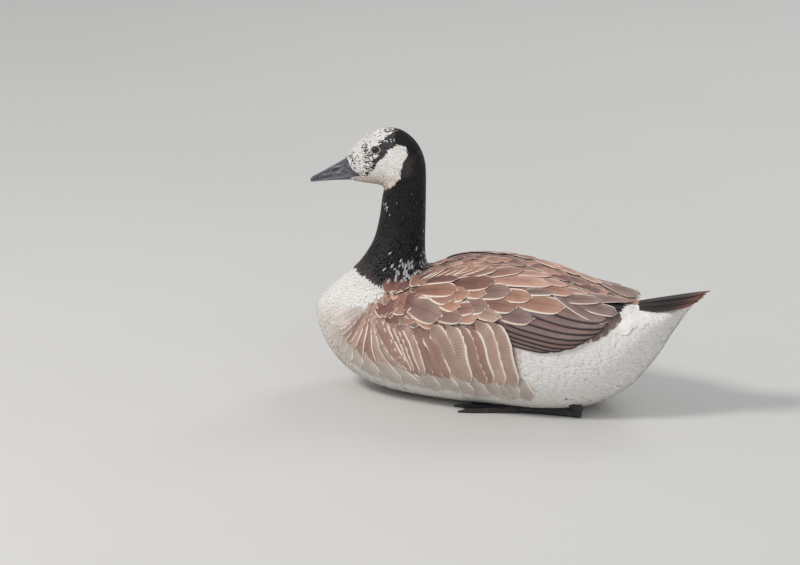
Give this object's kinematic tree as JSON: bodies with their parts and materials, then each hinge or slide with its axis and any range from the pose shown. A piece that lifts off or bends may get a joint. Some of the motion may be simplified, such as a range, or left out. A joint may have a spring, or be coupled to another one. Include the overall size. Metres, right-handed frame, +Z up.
{
  "type": "canada goose",
  "caption": "Life-size still model of a Canada goose resting on its belly, neck upright and head turned forward, wings folded over the back and feet tucked under.",
  "frame": {"origin": "on the floor, below the middle of the model's box", "axes": "+Z up; the bird faces -X, its left side is at -Y"},
  "size_m": [0.5401, 0.1952, 0.3413],
  "materials": {
    "body_feathers": "soft layered feathers",
    "black_feathers": "short dense feathers, slight sheen",
    "head_feathers": "short dense feathers",
    "wing_feathers": "layered vaned feathers",
    "tail_feathers": "stiff vaned feathers",
    "bill_horn": "satin horn",
    "eye": "wet gloss",
    "leg_skin": "scaly skin, satin"
  },
  "bodies": {
    "root": {"torso": "body_feathers", "neck": "black_feathers", "head": "head_feathers", "bill_upper": "bill_horn", "bill_lower": "bill_horn", "eye_left": "eye", "eye_right": "eye", "wing_left": "wing_feathers", "wing_right": "wing_feathers", "tail": "tail_feathers", "leg_left": "leg_skin", "leg_right": "leg_skin"}
  },
  "joints": []
}
